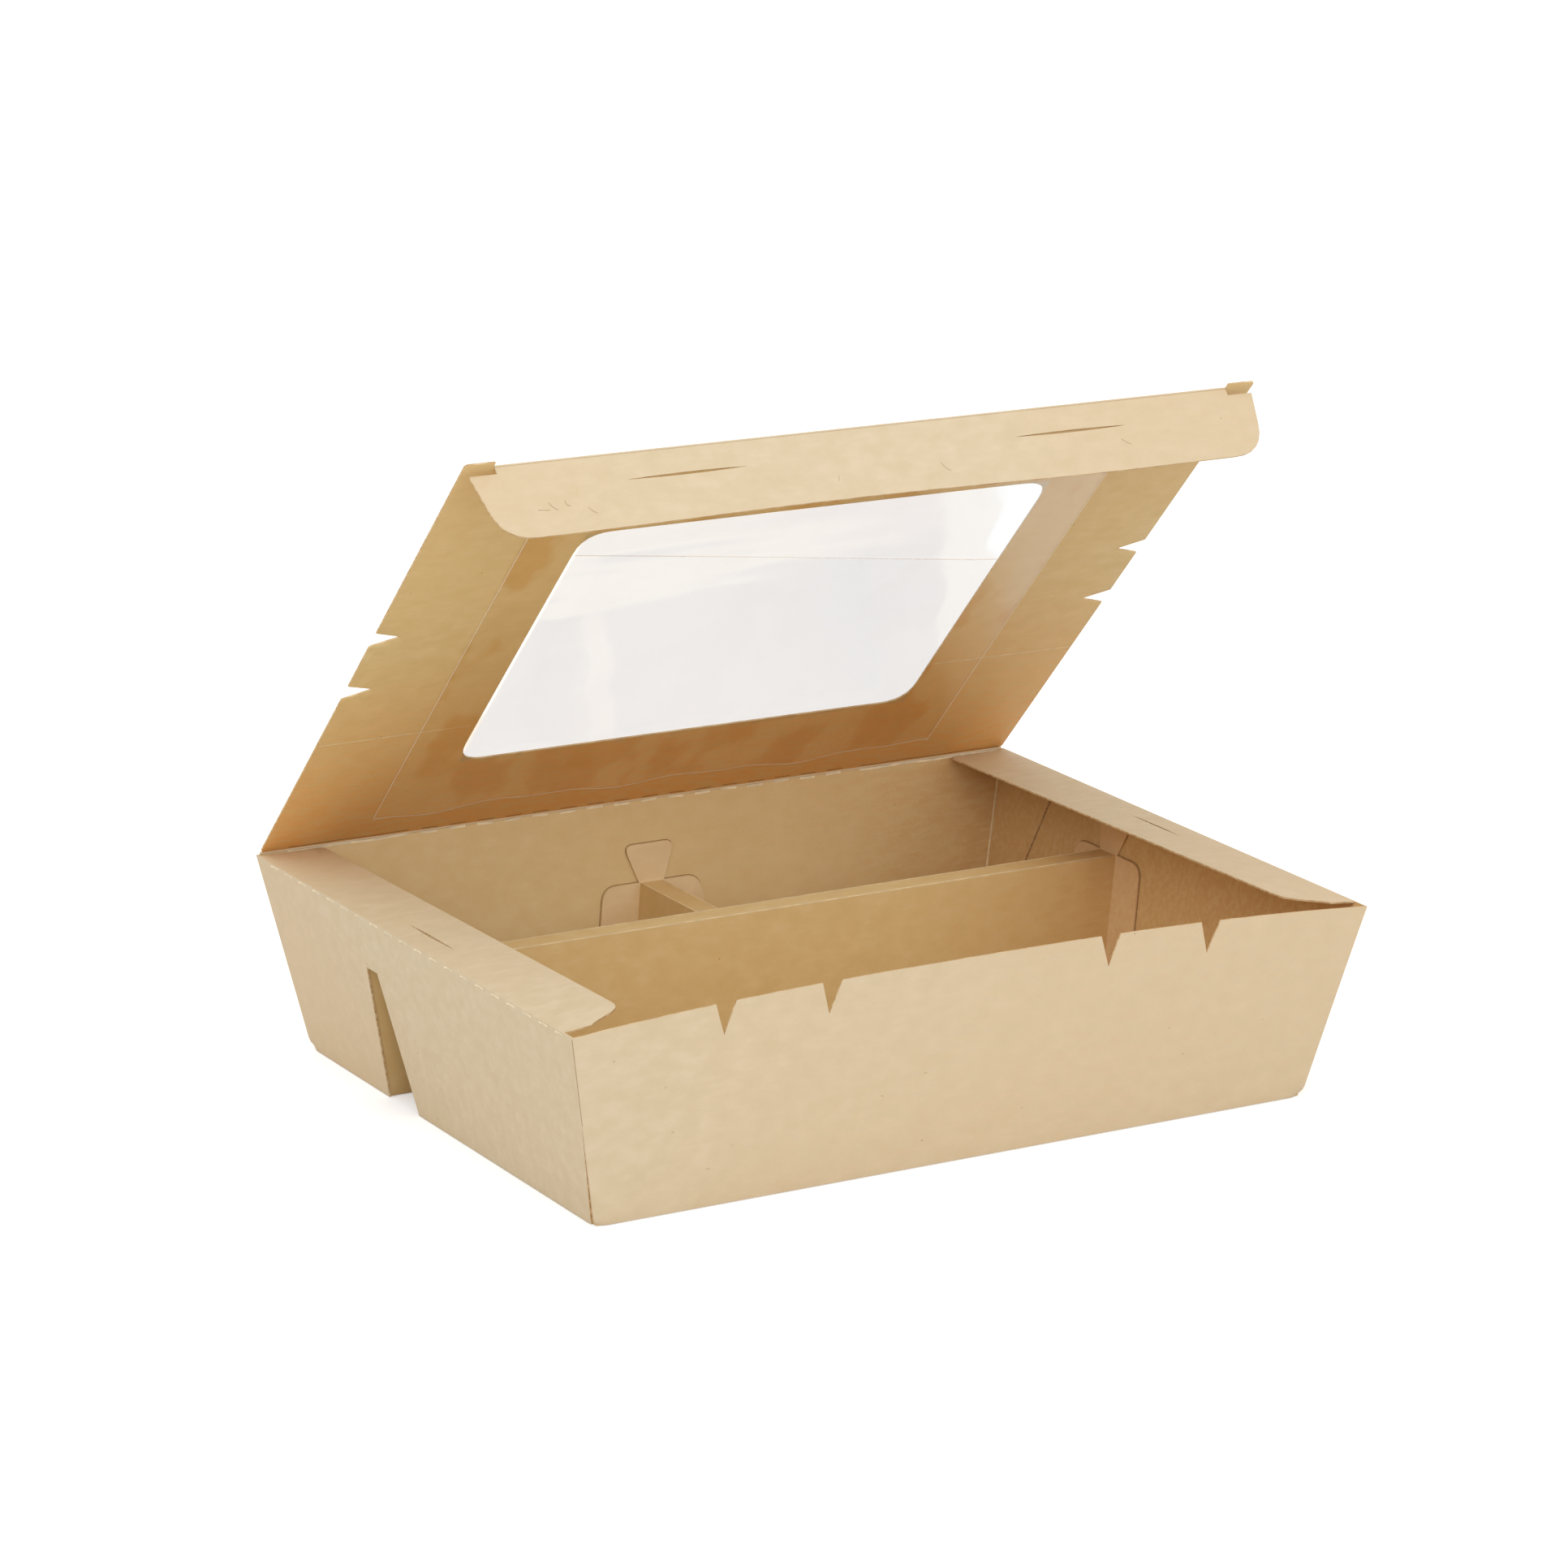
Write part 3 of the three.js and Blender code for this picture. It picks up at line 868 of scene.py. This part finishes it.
def ridge_flap_lines(name, to_wall, normal, foot, top, height):
    """Painted shadow lines along the outlines of a ridge's glued side flaps and of its fan tab.

    foot and top are the ridge's middle and half width there; to_wall sets a place
    along the wall and a height onto the wall.
    """
    foot_middle, foot_half = foot
    top_middle, top_half = top
    flap_width = 11.15
    flap_top = height + 0.15
    for sign, side in ((-1, "near"), (1, "far")):
        corners = [
            (foot_middle + sign * (foot_half + flap_width), 1),
            (top_middle + sign * (top_half + flap_width), flap_top),
            (top_middle + sign * top_half, flap_top),
        ]
        points = [to_wall(*p) for p in rounded(corners, 4)]
        drawn_line(f"{name}_flap_line_{side}", points, normal, 0.2, CREASE_DARK, "tray")
    fan_foot = height + 0.2
    fan_top = height + 10.15
    fan_half = top_half + 4.35
    corners = [
        (top_middle - top_half, fan_foot),
        (top_middle - fan_half, fan_top),
        (top_middle + fan_half, fan_top),
        (top_middle + top_half, fan_foot),
    ]
    points = [to_wall(*p) for p in rounded(corners, 3)]
    drawn_line(f"{name}_fan_line", points, normal, 0.2, CREASE_DARK, "tray")


def glue_flap_lines(name, side, end, to_wall, normal):
    """The slanting edge of a corner's glue flap as a painted shadow line, and a painted highlight
    along the corner crease beside it.
    """
    foot = Vector((end * (half_width(2) - 7.15), 2))
    top = Vector((end * 53.4, 49.4))
    points = [to_wall(*p) for p in straight(foot, top, 23)]
    drawn_line(f"{name}_glue_line", points, normal, 0.24, CREASE_DARK, "tray")
    corner = [
        Vector((side * (half_length(z) - 1.1), end * (half_width(z) - 0.62), z))
        for z in np.linspace(1.5, 48.5, 20)
    ]
    facing = Vector((-side, -end, 0)).normalized()
    drawn_line(f"{name}_corner_crease", corner, facing, 0.5, CREASE_HIGHLIGHT, "tray")


def flap_lines():
    """The outlines of all flaps glued to the inside of the walls."""
    inset = 0.5
    for side, name in ((-1, "left"), (1, "right")):

        def on_end_wall(y, z):
            return Vector((side * (half_length(z) - inset), y, z))

        normal = Vector((-side, 0, END_LEAN)).normalized()
        ridge_flap_lines(
            f"{name}_end", on_end_wall, normal, foot=(22.7, 8.8), top=(24.7, 3.5), height=LONG_TOP
        )
        for end, place in ((-1, "front"), (1, "back")):
            glue_flap_lines(f"{name}_{place}", side, end, on_end_wall, normal)

    def on_back_wall(x, z):
        return Vector((x, half_width(z) - inset, z))

    normal = Vector((0, -1, SIDE_LEAN)).normalized()
    ridge_flap_lines(
        "back_wall", on_back_wall, normal, foot=(0, 8), top=(0, 3.4), height=SHORT_TOP
    )


def fibre(name, start, heading, length, bend, normal, body):
    """One stray pulp fibre: a fine curved dark hair."""
    heading = heading.normalized()
    aside = heading.cross(normal)
    points = [
        start + heading * length * t + aside * bend * math.sin(math.pi * t)
        for t in np.linspace(0, 1, 9)
    ]
    drawn_line(name, points, normal, 0.07, CREASE_DARK, body)


def front_fibres():
    normal = Vector((0, -1, -SIDE_LEAN)).normalized()
    for i in range(10):
        z = random.uniform(6, 34)
        x = random.uniform(-95, 95)
        start = Vector((x, -half_width(z) - 0.04 + front_bow(x, z), z))
        turn = random.uniform(-1, 1)
        heading = Vector((1, 0, 0.4 * turn))
        length = random.uniform(0.5, 1.2)
        fibre(f"fibre_front_{i:02d}", start, heading, length, 0.3 * turn, normal, "tray")


def flap_fibres():
    """Fibres on the tuck flap, the first few of them close to its left end."""
    near_end = 3
    above = BOARD / 2 + 0.05
    turned = FLAP.to_3x3()
    for i in range(7):
        x = random.uniform(-100, -84) if i < near_end else random.uniform(-90, 90)
        u = random.uniform(9, 15)
        start = FLAP @ Vector((x, u, above + flap_wave(x, u)))
        turn = random.uniform(-1, 1)
        heading = turned @ Vector((0.5, turn, 0))
        length = random.uniform(1.6, 3.4)
        normal = turned @ Z_AXIS
        fibre(f"fibre_flap_{i:02d}", start, heading, length, 0.5 * turn, normal, "front_flap")


build_tray()
build_divider()
build_lid()
build_flap()
build_film()
film_lines()
score_lines()
hinge_detail()
front_crease_bead()
ridge_creases()
fold_dashes()
flange_slits()
corner_lines()
foot_strips()
flap_lines()
front_fibres()
flap_fibres()


# Floor and light
def floor_material():
    """A pale floor that looks white, and lights the box only by what falls on it."""
    n = Nodes("pale_floor")
    diffuse = n.add("ShaderNodeBsdfDiffuse", {"Color": (0.88, 0.88, 0.88, 1)})
    lift = n.add("ShaderNodeEmission", {"Color": (1, 1, 1, 1), "Strength": 0.4})
    seen = n.add("ShaderNodeAddShader", {0: diffuse.outputs[0], 1: lift.outputs[0]})
    rays = n.add("ShaderNodeLightPath")
    return n.finish(n.mix(rays.outputs["Is Camera Ray"], diffuse, seen))


def build_floor():
    size = 6.0
    below = 0.0002
    bm = bmesh.new()
    corners = ((-size, -size), (size, -size), (size, size), (-size, size))
    bm.faces.new([bm.verts.new((x, y, 0)) for x, y in corners])
    floor = new_object("floor", bm, [floor_material()])
    floor.location.z = -below


def background(tree, strength):
    node = tree.nodes.new("ShaderNodeBackground")
    node.inputs["Color"].default_value = (1, 1, 1, 1)
    node.inputs["Strength"].default_value = strength
    return node.outputs[0]


def build_world():
    """White surroundings, a little dimmer as a light than as they look."""
    world = bpy.data.worlds.new("studio")
    bpy.context.scene.world = world
    world.use_nodes = True
    tree = world.node_tree
    tree.nodes.clear()
    rays = tree.nodes.new("ShaderNodeLightPath")
    mixed = tree.nodes.new("ShaderNodeMixShader")
    out = tree.nodes.new("ShaderNodeOutputWorld")
    tree.links.new(rays.outputs["Is Camera Ray"], mixed.inputs[0])
    tree.links.new(background(tree, 0.8), mixed.inputs[1])
    tree.links.new(background(tree, 1.0), mixed.inputs[2])
    tree.links.new(mixed.outputs[0], out.inputs["Surface"])


def area_light(name, place, target, size, power):
    data = bpy.data.lights.new(name, "AREA")
    data.shape = "RECTANGLE"
    data.size, data.size_y = size
    data.energy = power
    lamp = bpy.data.objects.new(name, data)
    bpy.context.scene.collection.objects.link(lamp)
    lamp.location = place
    aim = Vector(target) - Vector(place)
    lamp.rotation_euler = aim.to_track_quat("-Z", "Y").to_euler()


def build_camera():
    """The view from the front left and a little above."""
    data = bpy.data.cameras.new("camera")
    data.sensor_width = 36.0
    data.lens = 127.99
    data.clip_start = 0.05
    camera = bpy.data.objects.new("camera", data)
    bpy.context.scene.collection.objects.link(camera)
    right = Vector((0.85718, -0.51462, 0.02044))
    up = Vector((0.12311, 0.24328, 0.96212))
    back = Vector((-0.50009, -0.82219, 0.27188))
    place = Vector((-0.69927, -1.13756, 0.45255))
    camera.matrix_world = axes_matrix(right, up, back, place)
    bpy.context.scene.camera = camera


build_floor()
build_world()
area_light("key", place=(-0.7, -1.6, 1.1), target=(0, 0, 0.05), size=(1.6, 1.2), power=8.5)
area_light("top", place=(-0.3, -0.1, 1.7), target=(0, 0, 0), size=(1.6, 1.6), power=6)
build_camera()
bpy.context.scene.view_settings.view_transform = "Standard"
